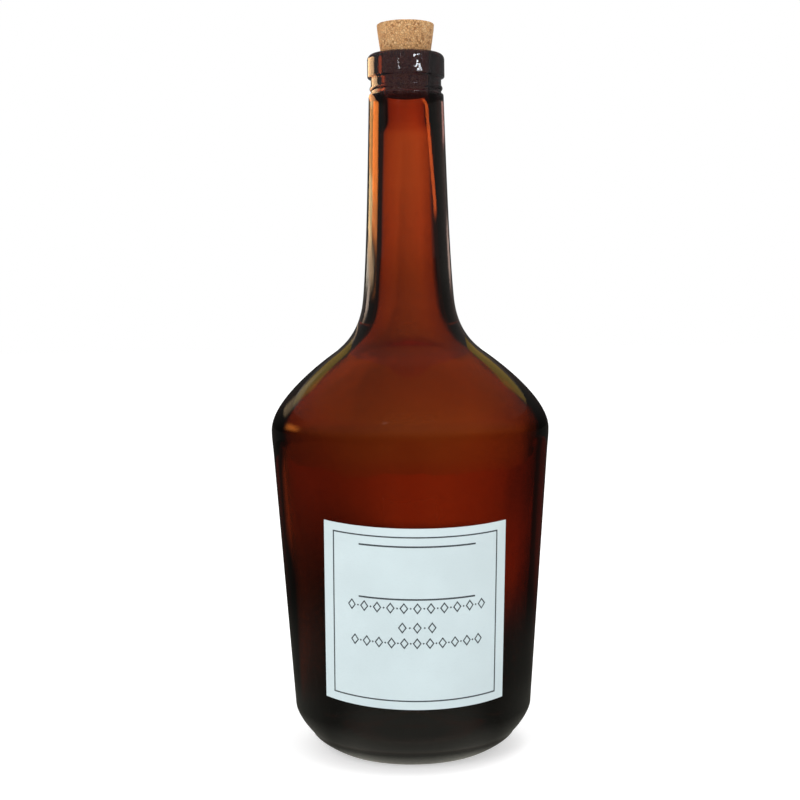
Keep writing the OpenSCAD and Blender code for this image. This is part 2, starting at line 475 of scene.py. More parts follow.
def dress(piece, material, body, node=None, smooth=40):
    """Smooths a finished piece up to an angle, and gives it its material and its place."""
    pick(piece)
    bpy.ops.object.shade_smooth_by_angle(angle=math.radians(smooth))
    piece.data.materials.clear()
    piece.data.materials.append(material)
    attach(piece, body)
    if node:
        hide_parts(node)


# ---------------- shader tools


def maths(operation, turned=False):
    """A Math node as a method of Wire, with its two values turned round when reflected."""

    def act(self, other):
        pair = (other, self) if turned else (self, other)
        return self.sheet.node("ShaderNodeMath", {"operation": operation}, dict(enumerate(pair)))

    return act


class Wire:
    """One output of a shader node that can stand in a sum."""

    def __init__(self, sheet, socket):
        self.sheet = sheet
        self.socket = socket

    __add__, __radd__ = maths("ADD"), maths("ADD", True)
    __sub__, __rsub__ = maths("SUBTRACT"), maths("SUBTRACT", True)
    __mul__, __rmul__ = maths("MULTIPLY"), maths("MULTIPLY", True)
    __truediv__, __rtruediv__ = maths("DIVIDE"), maths("DIVIDE", True)
    __pow__, __rpow__ = maths("POWER"), maths("POWER", True)
    most = maths("MAXIMUM")


class Sheet:
    """The node tree of a world or of a new material, filled from Python."""

    def __init__(self, owner):
        """Takes a world, or the name of a material to make."""
        self.owner = bpy.data.materials.new(owner) if isinstance(owner, str) else owner
        self.owner.use_nodes = True
        self.tree = self.owner.node_tree
        self.tree.nodes.clear()

    def node(self, kind, settings=None, inputs=None, output=0):
        """Adds a node: its settings first, then the values or wires of its inputs."""
        node = self.tree.nodes.new(kind)
        for key, value in (settings or {}).items():
            if key == "stops":
                self.set_stops(node.color_ramp, value)
            else:
                setattr(node, key, value)
        for key, value in (inputs or {}).items():
            if isinstance(value, Wire):
                self.tree.links.new(value.socket, node.inputs[key])
            else:
                node.inputs[key].default_value = value
        return Wire(self, node.outputs[output])

    def set_stops(self, ramp, stops):
        while len(ramp.elements) < len(stops):
            ramp.elements.new(1)
        for element, (place, colour) in zip(ramp.elements, stops):
            element.position = place
            element.color = (*colour, 1)

    def place(self):
        return self.node("ShaderNodeTexCoord", output="Object")

    def geometry(self, name):
        return self.node("ShaderNodeNewGeometry", output=name)

    def path(self, name):
        """What is known of the ray that sees the surface."""
        return self.node("ShaderNodeLightPath", output=name)

    def axes(self, vector):
        """The x, y and z of a vector."""
        node = self.node("ShaderNodeSeparateXYZ", {}, {0: vector}).socket.node
        return [Wire(self, out) for out in node.outputs]

    def stretch(self, vector, up):
        """Scales a pattern's place along Z."""
        return self.node("ShaderNodeMapping", {}, {"Vector": vector, "Scale": (1, 1, up)})

    def noise(self, vector, scale, detail=3.0, rough=0.5, distortion=0.0):
        values = {"Vector": vector, "Scale": scale, "Detail": detail, "Roughness": rough}
        return self.node("ShaderNodeTexNoise", {}, {**values, "Distortion": distortion})

    def fade(self, value, low, high, out_low=0.0, out_high=1.0):
        """Maps a value from one range to another with soft ends."""
        values = dict(enumerate((value, low, high, out_low, out_high)))
        return self.node("ShaderNodeMapRange", {"interpolation_type": "SMOOTHSTEP"}, values)

    def band(self, value, start, end, soft):
        """1 between two values, with soft ends."""
        rise = self.fade(value, start - soft, start + soft)
        return rise - self.fade(value, end - soft, end + soft)

    def ramp(self, value, low, high, stops):
        """A colour that runs through stops of (value, colour), from low to high."""
        places = [((at - low) / (high - low), colour) for at, colour in stops]
        share = (value - low) / (high - low)
        return self.node("ShaderNodeValToRGB", {"stops": places}, {0: share})

    def vector(self, operation, first, second):
        """A Vector Math node on two colours."""
        return self.node("ShaderNodeVectorMath", {"operation": operation}, {0: first, 1: second})

    def glow(self, colour, strength):
        """A colour times a value."""
        values = {0: colour, "Scale": strength}
        return self.node("ShaderNodeVectorMath", {"operation": "SCALE"}, values)

    def together(self, *colours):
        """The sum of colours."""
        total = colours[0]
        for colour in colours[1:]:
            total = self.vector("ADD", total, colour)
        return total

    def mix(self, amount, first, second):
        """Mixes two colours."""
        first, second = (c if isinstance(c, Wire) else (*c, 1) for c in (first, second))
        values = {0: amount, 6: first, 7: second}
        return self.node("ShaderNodeMix", {"data_type": "RGBA"}, values, 2)

    def bump(self, height, distance, strength):
        values = {"Height": height, "Distance": distance, "Strength": strength}
        return self.node("ShaderNodeBump", {}, values)

    def surface(self, **sockets):
        """A Principled shader with the given sockets."""
        names = {key.replace("_", " "): value for key, value in sockets.items()}
        return self.node("ShaderNodeBsdfPrincipled", {}, names)

    def cloth(self, colour):
        return self.node("ShaderNodeBsdfDiffuse", {}, {"Color": colour})

    def shine(self, colour, strength=1.0):
        return self.node("ShaderNodeEmission", {}, {"Color": colour, "Strength": strength})

    def blend(self, amount, first, second):
        """Mixes two shaders."""
        return self.node("ShaderNodeMixShader", {}, {0: amount, 1: first, 2: second})

    def finish(self, surface, volume=None, kind="ShaderNodeOutputMaterial"):
        """Wires up the output and returns the material or world."""
        out = self.tree.nodes.new(kind)
        self.tree.links.new(surface.socket, out.inputs["Surface"])
        if volume:
            self.tree.links.new(volume.socket, out.inputs["Volume"])
        return self.owner


# ---------------- materials


def amber_material(look):
    """Clear amber glass: its colour is in its depth, with faint dust and rubbing outside."""
    sheet = Sheet("amber_glass")
    at = sheet.place()
    film = sheet.noise(sheet.stretch(at, 0.35), 55.0, 4.0, 0.6)
    ripple = sheet.noise(sheet.stretch(at, 0.3), 70.0, 2.0, 0.4)
    lip = sheet.fade(sheet.axes(at)[2], 0.2515, 0.2545)
    waves = sheet.noise(at, 170.0, 1.0, 0.4)
    clear = sheet.surface(
        Base_Color=sheet.mix(sheet.fade(film, 0.5, 0.85), (1, 1, 1), (0.93, 0.92, 0.9)),
        Roughness=sheet.fade(film, 0.35, 0.9, 0.0, 0.06),
        IOR=1.5,
        Transmission_Weight=1.0,
        Normal=sheet.bump(ripple + waves * lip * 3.0, 0.12 * MM, 0.5),
    )
    colour = (*look.colour, 1)
    depth = sheet.node("ShaderNodeVolumeAbsorption", {}, {"Color": colour, "Density": look.density})
    dulled = sheet.blend(lip * 0.03, clear, sheet.cloth((0.6, 0.55, 0.56, 1)))
    return sheet.finish(dulled, depth)


def cork_material(cork):
    """Pressed cork: granules of several browns with dark joints and small pits."""
    sheet = Sheet("pressed_cork")
    at = sheet.place()
    bent = sheet.node(
        "ShaderNodeVectorMath",
        {"operation": "MULTIPLY_ADD"},
        {0: sheet.node("ShaderNodeTexNoise", {}, {"Vector": at, "Scale": 900.0}, "Color"),
         1: (0.0006, 0.0006, 0.0006), 2: at},
    )
    grid = {"Vector": bent, "Scale": 1 / cork.granule}
    cell = sheet.node("ShaderNodeTexVoronoi", {"feature": "F1"}, grid, "Color")
    edge = sheet.node("ShaderNodeTexVoronoi", {"feature": "DISTANCE_TO_EDGE"}, grid, "Distance")
    lot, shade, _ = sheet.axes(cell)
    fine = sheet.noise(at, 2600.0, 4.0, 0.65)
    colour = sheet.mix(sheet.fade(lot, 0.62, 0.95), cork.tan, cork.pale)
    colour = sheet.mix(sheet.fade(shade, 0.8, 0.97, 0.0, 0.85), colour, cork.dark)
    colour = sheet.mix(sheet.fade(fine, 0.35, 0.75, 0.0, 0.35), colour, cork.dark)
    height = sheet.fade(edge, 0.0, 0.18) + fine * 0.6 - sheet.fade(shade, 0.85, 0.95) * 0.5
    shader = sheet.surface(
        Base_Color=sheet.mix(sheet.fade(edge, 0.0, 0.11, 0.7, 0.0), colour, (0.3, 0.14, 0.055)),
        Roughness=sheet.fade(fine, 0.3, 0.8, 0.72, 0.95),
        Normal=sheet.bump(height, 0.16 * MM, 0.9),
    )
    return sheet.finish(shader)


def paper_material(label):
    """Smooth coated paper with faint fibres and a little cloudiness."""
    sheet = Sheet("label_paper")
    at = sheet.place()
    fibre = sheet.noise(sheet.stretch(at, 2.2), 900.0, 5.0, 0.7, 0.6)
    cloud = sheet.noise(at, 45.0, 2.0)
    pale = tuple(min(1.0, c * 1.06) for c in label.paper)
    dull = tuple(c * 0.93 for c in label.paper)
    colour = sheet.mix(sheet.fade(cloud, 0.3, 0.75), label.paper, pale)
    shader = sheet.surface(
        Base_Color=sheet.mix(sheet.fade(fibre, 0.5, 0.8, 0.0, 0.5), colour, dull),
        Roughness=sheet.fade(fibre, 0.3, 0.7, 0.5, 0.68),
        Normal=sheet.bump(fibre, 0.02 * MM, 0.5),
    )
    return sheet.finish(shader)


def ink_material(label):
    """Dark slate ink, thinner in places so that the paper greys it."""
    sheet = Sheet("slate_ink")
    grain = sheet.noise(sheet.place(), 1500.0, 4.0, 0.7)
    worn = tuple(0.72 * i + 0.28 * p for i, p in zip(label.ink, label.paper))
    shader = sheet.surface(
        Base_Color=sheet.mix(sheet.fade(grain, 0.5, 0.8, 0.0, 0.7), label.ink, worn),
        Roughness=sheet.fade(grain, 0.3, 0.7, 0.42, 0.6),
        Normal=sheet.bump(grain, 0.01 * MM, 0.4),
    )
    return sheet.finish(shader)


# ---------------- label geometry


class LabelRoll:
    """Rolls flat work on to the cone of the bottle's side."""

    def __init__(self, glass, label):
        self.label = label
        profile = GlassProfile(glass)
        self.angle = profile.side_angle
        self.tip = glass.heel_z - glass.heel_d / 2 / profile.side_slope
        self.middle = (label.low - self.tip) / math.cos(self.angle) + label.height / 2

    def point(self, u, v, proud):
        """A point u across and v up from the middle of the label's lower edge."""
        label = self.label
        rise = v - label.height / 2 + label.bow * (2 * u / label.width) ** 2
        across = label.aside + u * math.cos(label.lean) + rise * math.sin(label.lean)
        up = self.middle + rise * math.cos(label.lean) - u * math.sin(label.lean)
        along = math.hypot(across, up)
        turn = math.atan2(across, up) / math.sin(self.angle)
        radius = along * math.sin(self.angle) + proud * math.cos(self.angle)
        return Vector(
            (
                radius * math.sin(turn),
                -radius * math.cos(turn),
                self.tip + along * math.cos(self.angle) - proud * math.sin(self.angle),
            )
        )

    def roll(self, piece, proud, thick):
        """Rolls a flat piece, drawn in X and Y, on to the side and gives it its thickness."""
        for vertex in piece.data.vertices:
            vertex.co = self.point(vertex.co.x, vertex.co.y, proud)
        solid = piece.modifiers.new("thickness", "SOLIDIFY")
        solid.thickness = thick
        solid.offset = 1
        solid.use_even_offset = True
        apply_modifiers(piece)


def fit(piece, width, height, x, y):
    """Gives a new flat piece, one unit wide, its size and place within its plane."""
    into_edit("VERT")
    bpy.ops.transform.resize(value=(width, height, 1))
    bpy.ops.transform.translate(value=(x, y, 0))
    out_of_edit()
    return piece


def flat_grid(name, size, faces, x=0, low=0):
    """A flat grid in X and Y, with its lower edge at y = low and its faces across and up."""
    piece = add(
        name, bpy.ops.mesh.primitive_grid_add, x_subdivisions=faces[0],
        y_subdivisions=faces[1], size=1,
    )
    return fit(piece, *size, x, low + size[1] / 2)


def lozenge(name, size, x, y):
    """A flat lozenge round a point."""
    piece = add(
        name, bpy.ops.mesh.primitive_circle_add, vertices=4, radius=0.5, fill_type="NGON"
    )
    return fit(piece, *size, x, y)


def outline(piece, stroke):
    """The outline of the piece just made, left when the middle of its inset is cut out."""
    into_edit("FACE")
    bpy.ops.mesh.inset(thickness=stroke, depth=0)
    bpy.ops.mesh.delete(type="FACE")
    out_of_edit()
    return piece


def join(pieces, name):
    """Joins pieces into one."""
    pick(*pieces)
    bpy.ops.object.join()
    return named(name)


# ---------------- operators


class BOTTLE_OT_glass(bpy.types.Operator):
    """Turn the bottle's glass from its section and let its inside run uneven"""

    bl_idname = "bottle.glass"
    bl_label = "Blow Glass"
    # How far the waves of the inside take to rise at their lower and upper ends.
    wave_ease = 12 * MM
    # Name, size and share of the waviness.
    waves = (("slow", 30 * MM, 1.0), ("quick", 9 * MM, 0.3))

    def execute(self, context):
        glass = context.scene.bottle_glass
        profile = GlassProfile(glass)
        piece = turn_section("bottle_glass", profile.section(), glass.steps)
        self.uneven(piece, profile)
        dress(piece, amber_material(glass), "bottle", "glass_bottle")
        return {"FINISHED"}

    def uneven(self, piece, profile):
        """Moves the inside in slow waves, as mould-blown glass runs."""
        glass = profile.g
        low = glass.base_wall + glass.floor_round
        high = profile.bore_z - profile.bore_ease
        lines = (profile.wall_line(), profile.inner_line())
        inside = piece.vertex_groups.new(name="inside")
        for vertex in piece.data.vertices:
            x, y, z = vertex.co
            if low <= z <= high and math.hypot(x, y) < self.middle(lines, z, profile):
                share = min(1, (z - low) / self.wave_ease, (high - z) / self.wave_ease)
                inside.add([vertex.index], share, "REPLACE")
        for name, size, share in self.waves:
            displace(piece, name, "CLOUDS", size, glass.wave * share, 0.5, "inside")
        apply_modifiers(piece)

    def middle(self, lines, z, profile):
        """Radius half way through the wall at a height."""
        if z < profile.g.shoulder_z - profile.side_ease:
            return profile.side_r(z) - profile.g.body_wall / 2
        return sum(min(line, key=lambda p: abs(p.y - z)).x for line in lines) / 2


class BOTTLE_OT_cork(bpy.types.Operator):
    """Turn the cork stopper and give it its granules"""

    bl_idname = "bottle.cork"
    bl_label = "Cut Cork"
    steps = 160
    # Points across an end, round an edge, up the taper, the swell and the head.
    end_n, edge_n, taper_n, swell_n, head_n = 24, 5, 40, 6, 30
    swell_h = 0.6 * MM
    # Handles of the swell's curve and of the head's, as shares of the sizes they follow.
    swell_pull = (0.65, 0.6)
    head_pull = (0.4, 0.25, 0.3)
    head_ease = 0.25 * MM
    pit = 3.2 * MM
    pit_share = 0.8

    def execute(self, context):
        cork = context.scene.bottle_cork
        section = self.section(context.scene.bottle_glass, cork)
        piece = turn_section("cork_plug", section, self.steps)
        displace(piece, "granules", "VORONOI", cork.granule, -cork.relief)
        displace(piece, "pits", "VORONOI", self.pit, -cork.relief * self.pit_share)
        apply_modifiers(piece)
        dress(piece, cork_material(cork), "cork", "cork_stopper", smooth=60)
        return {"FINISHED"}

    def section(self, glass, cork):
        """The cork's section, from the middle of its lower end to the middle of its head."""
        low = glass.glass_h - cork.seat
        top = low + cork.length
        waist = glass.bore_d / 2 - cork.clear
        head = waist + cork.flare
        tip = waist - cork.taper
        head_h = cork.length - cork.seat - cork.edge
        mouth = GlassProfile.mouth_round
        rise, swell = self.swell_pull
        out, up, down = self.head_pull
        tip_side = spot(tip, low + cork.edge)
        waist_at = spot(waist, glass.glass_h - mouth)
        swell_at = spot(waist + cork.swell, glass.glass_h + self.swell_h)
        head_at = spot(head, glass.glass_h + head_h)
        low_edge = spot(tip - cork.edge, low + cork.edge)
        top_edge = spot(head - cork.edge, top - cork.edge)
        return (
            [spot(low_edge.x * i / self.end_n, low) for i in range(self.end_n)]
            + arc(low_edge, cork.edge, -90, 0, self.edge_n)
            + [tip_side.lerp(waist_at, i / self.taper_n) for i in range(1, self.taper_n)]
            + curve(
                waist_at, waist_at + UP * mouth * rise,
                spot(waist + cork.swell * swell, glass.glass_h), swell_at, self.swell_n,
            )
            + curve(
                swell_at, swell_at + spot(cork.swell * out, head_h * up),
                head_at - spot(self.head_ease, head_h * down), head_at, self.head_n,
            )
            + arc(top_edge, cork.edge, 0, 90, self.edge_n)
            + [spot(top_edge.x * (1 - i / self.end_n), top) for i in range(1, self.end_n + 1)]
        )


class BOTTLE_OT_label(bpy.types.Operator):
    """Cut the paper label and roll it on to the glass"""

    bl_idname = "bottle.label"
    bl_label = "Stick Label"
    faces = (72, 64)

    def execute(self, context):
        label = context.scene.bottle_label
        roll = LabelRoll(context.scene.bottle_glass, label)
        piece = flat_grid("paper_label", (label.width, label.height), self.faces)
        roll.roll(piece, 0, label.thick)
        dress(piece, paper_material(label), "bottle", "front_label")
        return {"FINISHED"}


class BOTTLE_OT_print(bpy.types.Operator):
    """Print the label's border line, its two rules and three rows of ornament"""

    bl_idname = "bottle.print"
    bl_label = "Print Label"
    # Height up the label, number of lozenges and their pitch, row by row, in millimetres.
    rows = ((37.9, 11, 4.9), (30.7, 3, 5.4), (24.9, 11, 4.65))
    rule_rows = (60.3 * MM, 40.9 * MM)
    rule_faces = (44, 1)
    border_faces = (64, 58)
    lozenge_size = (3.2 * MM, 4.2 * MM)
    dot_size = (0.8 * MM, 0.8 * MM)
    stroke = 0.42 * MM

    def execute(self, context):
        label = context.scene.bottle_label
        roll = LabelRoll(context.scene.bottle_glass, label)
        ink = ink_material(label)
        for piece in (self.border(label), self.rules(label), self.ornament(label)):
            roll.roll(piece, label.thick, label.ink_t)
            dress(piece, ink, "bottle", smooth=30)
        return {"FINISHED"}

    def border(self, label):
        """One line all round."""
        size = (label.width - 2 * label.margin, label.height - 2 * label.margin_z)
        sheet = flat_grid("label_border", size, self.border_faces, low=label.margin_z)
        return outline(sheet, label.line)

    def rules(self, label):
        """Two short rules across the upper half."""
        size = (label.rule_l, label.rule)
        pieces = [
            flat_grid("rule", size, self.rule_faces, label.shift, low) for low in self.rule_rows
        ]
        return join(pieces, "label_rules")

    def ornament(self, label):
        """Three centred rows of open lozenges with a dot between each two."""
        pieces = []
        for y, count, pitch in self.rows:
            for i in range(count):
                x = (i - (count - 1) / 2) * pitch * MM + label.shift
                piece = lozenge("lozenge", self.lozenge_size, x, y * MM)
                pieces.append(outline(piece, self.stroke))
                if i:
                    x -= pitch * MM / 2
                    pieces.append(lozenge("dot", self.dot_size, x, y * MM))
        return join(pieces, "label_ornament")


class Surround(Sheet):
    """What the glass sees round it: a drum and rings glowing with painted light, shade and
    reflections, and a floor with painted shade.

    Places are told by their angle left of straight back, in degrees, and by height.
    """

    # Colour of the faint painted reflection on the glass.
    reflection_tint = (1, 0.97, 0.9)
    # Painted backdrop that the glass shows through itself, by height: dim and warm below, bright
    # and pinkish above.
    back_cloth = (
        (0.0, (0.36, 0.17, 0.08)),
        (0.03, (0.39, 0.3, 0.15)),
        (0.06, (0.46, 0.42, 0.25)),
        (0.12, (0.47, 0.38, 0.2)),
        (0.16, (0.49, 0.38, 0.19)),
        (0.2, (0.57, 0.46, 0.29)),
        (0.26, (0.88, 0.7, 0.6)),
        (0.31, (1.0, 0.85, 0.72)),
    )
    # Painted light and shade on that backdrop, by angle, low down and high up.
    lit_low = (
        (-180, 0.5), (-116, 0.5), (-110, 0.03), (-24, 0.04), (-18, 0.38), (-15, 0.92),
        (-11, 0.95), (-6, 1.2), (0, 0.98), (8, 0.62), (14, 0.5), (22, 0.4), (28, 0.03),
        (70, 0.03), (76, 0.7), (108, 0.7), (114, 0.1), (170, 0.5), (180, 0.5),
    )
    lit_high = (
        (-180, 0.7), (-116, 0.7), (-110, 0.03), (-24, 0.06), (-19, 0.9), (-12, 1.2),
        (-6, 1.38), (0, 1.15), (12, 1.0), (18, 0.8), (23, 0.03), (70, 0.03), (76, 1.0),
        (108, 1.0), (114, 0.1), (170, 0.7), (180, 0.7),
    )
    lit_most = 1.5
    # Painted light and shade of the floor behind, by angle, as the glass shows it.
    lit_floor = (
        (-40, 0.03), (-30, 0.2), (-22, 0.3), (-15, 0.4), (-12, 0.37), (-8, 0.42), (-4, 0.5),
        (-1, 0.49), (2, 0.4), (5, 0.28), (8, 0.25), (14, 0.29), (22, 0.27), (28, 0.03), (40, 0.03),
    )
    # Painted reflections that only the outside mirrors: angles and heights between, softness,
    # colour.
    sheens = (
        ((35, 60, 3), (0.34, 0.45, 0.01), (3.6, 1.5, 0.35)),
        ((35, 60, 3), (0.41, 0.45, 0.01), (0.8, 1.1, 0.7)),
        ((38, 62, 3), (0.285, 0.34, 0.01), (4.5, 3, 1.3)),
        ((60, 86, 3), (0.33, 0.45, 0.01), (11, 2.7, 0.4)),
        ((62, 86, 3), (0.3, 0.33, 0.01), (7.5, 2.2, 0.5)),
        ((40, 78, 4), (0.265, 0.29, 0.01), (3.5, 2.2, 1.2)),
        ((35, 62, 4), (0.235, 0.265, 0.01), (2.2, 1.9, 1.5)),
        ((-46, -30, 3), (0.235, 0.285, 0.015), (1.3, 0.9, 0.75)),
        ((-46, -28, 3), (0.365, 0.43, 0.01), (1.3, 0.6, 0.5)),
        ((15, 43, 3), (0.5, 0.78, 0.04), (0.45, 0.28, 0.01)),
        ((28, 46, 4), (0.42, 0.62, 0.04), (0.3, 0.25, 0.2)),
        ((-43, -15, 3), (0.5, 0.78, 0.04), (0.45, 0.28, 0.01)),
        ((154, 158, 1.5), (0.45, 1.1, 0.05), (0.6, 0.5, 0.45)),
    )
    # The same painted reflections on a small ring close round the lip.
    lip_sheens = (
        ((55, 93, 3), (0.255, 0.274, 0.0002), (6, 3.6, 1.8)),
        ((113, 121, 3), (0.255, 0.272, 0.0002), (4.5, 0.5, 0.05)),
        ((93, 121, 3), (0.2547, 0.258, 0.0001), (7.5, 1.5, 0.5)),
        ((62, 96, 2), (0.254, 0.2548, 0.0002), (5, 2.1, 0.8)),
    )
    # The same there, for the broken painted glints in front.
    lip_glints = (
        ((163, 168, 1), (0.262, 0.2722, 0.0005), (9, 9.5, 10)),
        ((-163, -143, 1), (0.2612, 0.2722, 0.0005), (16, 17, 18)),
        ((157, 163, 1), (0.2554, 0.2572, 0.0003), (12, 13, 13.5)),
        ((-160, -152, 1), (0.2554, 0.2566, 0.0003), (12, 13, 13.5)),
    )
    # The same painted reflections on a ring round the foot of the neck.
    neck_sheens = (
        ((80, 92, 3), (0.174, 0.195, 0.003), (2.4, 1.9, 1.6)),
        ((81, 89, 2), (0.16, 0.177, 0.003), (0.8, 0.55, 0.35)),
    )
    # The same painted reflections on a low ring round the shoulder.
    low_sheens = (
        ((74, 91, 6), (0.138, 0.157, 0.008), (2.6, 0.75, 0.12)),
        ((48, 62, 4), (0.162, 0.19, 0.004), (0.5, 0.35, 0.2)),
    )

    def __init__(self, owner):
        super().__init__(owner)
        x, y, self.high = self.axes(self.geometry("Position"))
        turn = self.node("ShaderNodeMath", {"operation": "ARCTAN2"}, {0: x * -1.0, 1: y})
        self.left = turn * (180 / math.pi)
        self.wide = self.node("ShaderNodeMath", {"operation": "ABSOLUTE"}, {0: self.left})
        self.away = (x * x + y * y) ** 0.5
        self.mirrored = 1 - self.path("Is Transmission Ray")

    def lit(self, stops, most=1.0):
        """How much painted light there is, by angle."""
        greys = [(at, (amount / most,) * 3) for at, amount in stops]
        return self.ramp(self.left, -180, 180, greys)

    def through(self):
        """The drum's painted light and shade as seen through the glass: dark high up, and dimmer
        where the ray bounced inside it.
        """
        cloth = self.ramp(self.high, 0, 0.5, self.back_cloth)
        rise = self.fade(self.left, 0, 7, 0.28, 0.03)
        lit = self.mix(
            self.fade(self.high, rise, rise + 0.15),
            self.lit(self.lit_low, self.lit_most),
            self.lit(self.lit_high, self.lit_most),
        )
        straight = self.fade(self.high, 0.78, 0.62, 0.04, self.lit_most)
        bounced = self.fade(self.path("Glossy Depth"), 0.2, 0.8, 1, 0.08)
        return self.glow(self.vector("MULTIPLY", cloth, lit), straight * bounced)

    def patches(self, sheens):
        """Painted lit patches, each between two angles and two heights."""
        parts = []
        for (start, end, soft), (low, high, soft_z), colour in sheens:
            mask = self.band(self.left, start, end, soft)
            parts.append(self.glow(colour, mask * self.band(self.high, low, high, soft_z)))
        return self.together(*parts)

    def sheen(self):
        """The drum's painted reflections on the glass, with a painted orange streak and a warm glow
        high up.
        """
        sides = self.band(self.wide, 30, 115, 6) * self.band(self.high, 0.24, 0.45, 0.02)
        base = self.fade(self.high, 0.22, 0.3, 0.03, 0.11).most(sides * 0.22)
        leaning = self.left + (self.high - 0.34) * 210
        streak = self.band(leaning, -102.5, -92.5, 2.5) * self.fade(self.high, 0.322, 0.338)
        return self.together(
            self.glow(self.reflection_tint, base),
            self.glow((0.15, 0.06, 0), self.fade(self.high, 0.6, 1.2)),
            self.glow((9, 1.3, 0.2), streak * self.fade(self.high, 0.5, 0.47)),
            self.patches(self.sheens),
        )

    def lip_sheen(self):
        """The ring round the lip, as mirrored: painted light inside and below, its painted front
        glints broken up.
        """
        spots = self.fade(self.noise(self.geometry("Position"), 300, 1, 0.5), 0.49, 0.55)
        inside = self.geometry("Backfacing").most(self.fade(self.high, 0.2547, 0.2546))
        patches = self.together(
            self.patches(self.lip_sheens), self.glow(self.patches(self.lip_glints), spots)
        )
        return self.together(self.glow((0.1, 0.1, 0.1), 1.0), self.glow(patches, inside))

    def neck_sheen(self):
        """Painted reflections on the ring round the foot of the neck, as mirrored."""
        return self.together(self.glow((0.15, 0.14, 0.13), 1.0), self.patches(self.neck_sheens))

    def low_sheen(self):
        """Painted reflections on the ring round the shoulder, as mirrored."""
        base = self.fade(self.wide, 80, 110, 0.05, 0.11)
        base = base * self.fade(self.high, 0.122, 0.19, 0.3, 1)
        return self.together(self.glow(self.reflection_tint, base), self.patches(self.low_sheens))

    def low_top(self):
        """How high the ring round the shoulder reaches: higher in front."""
        front = self.fade(self.wide, 94, 104, 0, 0.0215)
        return front + self.fade(self.wide, 120, 132, 0, 0.009) + 0.186

    def floor_through(self):
        """The floor as seen through the glass, with painted shade and light: dark close behind the
        bottle, dimmer on the left.
        """
        side = self.fade(self.left, -5, 8)
        near = self.fade(self.away, side * 0.1 + 0.2, side * 0.45 + 0.5)
        far = 1 - self.fade(self.away, 0.55, 0.85, 0, 0.35) * self.fade(self.left, -8, -14)
        opening = self.fade(self.away, 0.35, 0.6, 58, 38)
        aside = self.fade(self.left, opening - 10, opening + 10) * self.fade(self.left, 175, 165)
        aside = aside.most(self.band(self.left, -170, -95, 8))
        open_floor = self.fade(self.away, 0.9, 0.75) * self.fade(self.away, 0.1, 0.22) * aside
        tinted = self.vector("MULTIPLY", self.lit(self.lit_floor), (1, 0.36, 0.17))
        return self.together(
            self.glow(tinted, near * far), self.glow((0.45, 0.43, 0.4), open_floor)
        )

    def floor_sheen(self):
        """Painted reflection of the floor on the glass: a grey sheen close to the foot."""
        close = self.fade(self.away, 0.085, 0.125, 0.26, 0) * self.fade(self.wide, 115, 150, 0.1)
        wider = self.fade(self.away, 0.14, 0.28, 0.11, 0.04) * self.fade(self.wide, 50, 100, 0.5)
        return self.glow((1, 0.98, 0.85), close + wider)

    def glass_view(self, through, sheen):
        """Shines with one colour for rays through the glass and the other for mirrored ones."""
        return self.shine(self.mix(self.mirrored, through, sheen))

    def half_seen(self, seen, colour):
        """Shines with a colour where it's seen, and lets light by elsewhere."""
        clear = self.node("ShaderNodeBsdfTransparent", {}, {"Color": WHITE})
        self.finish(self.blend(seen, clear, self.shine(colour)))


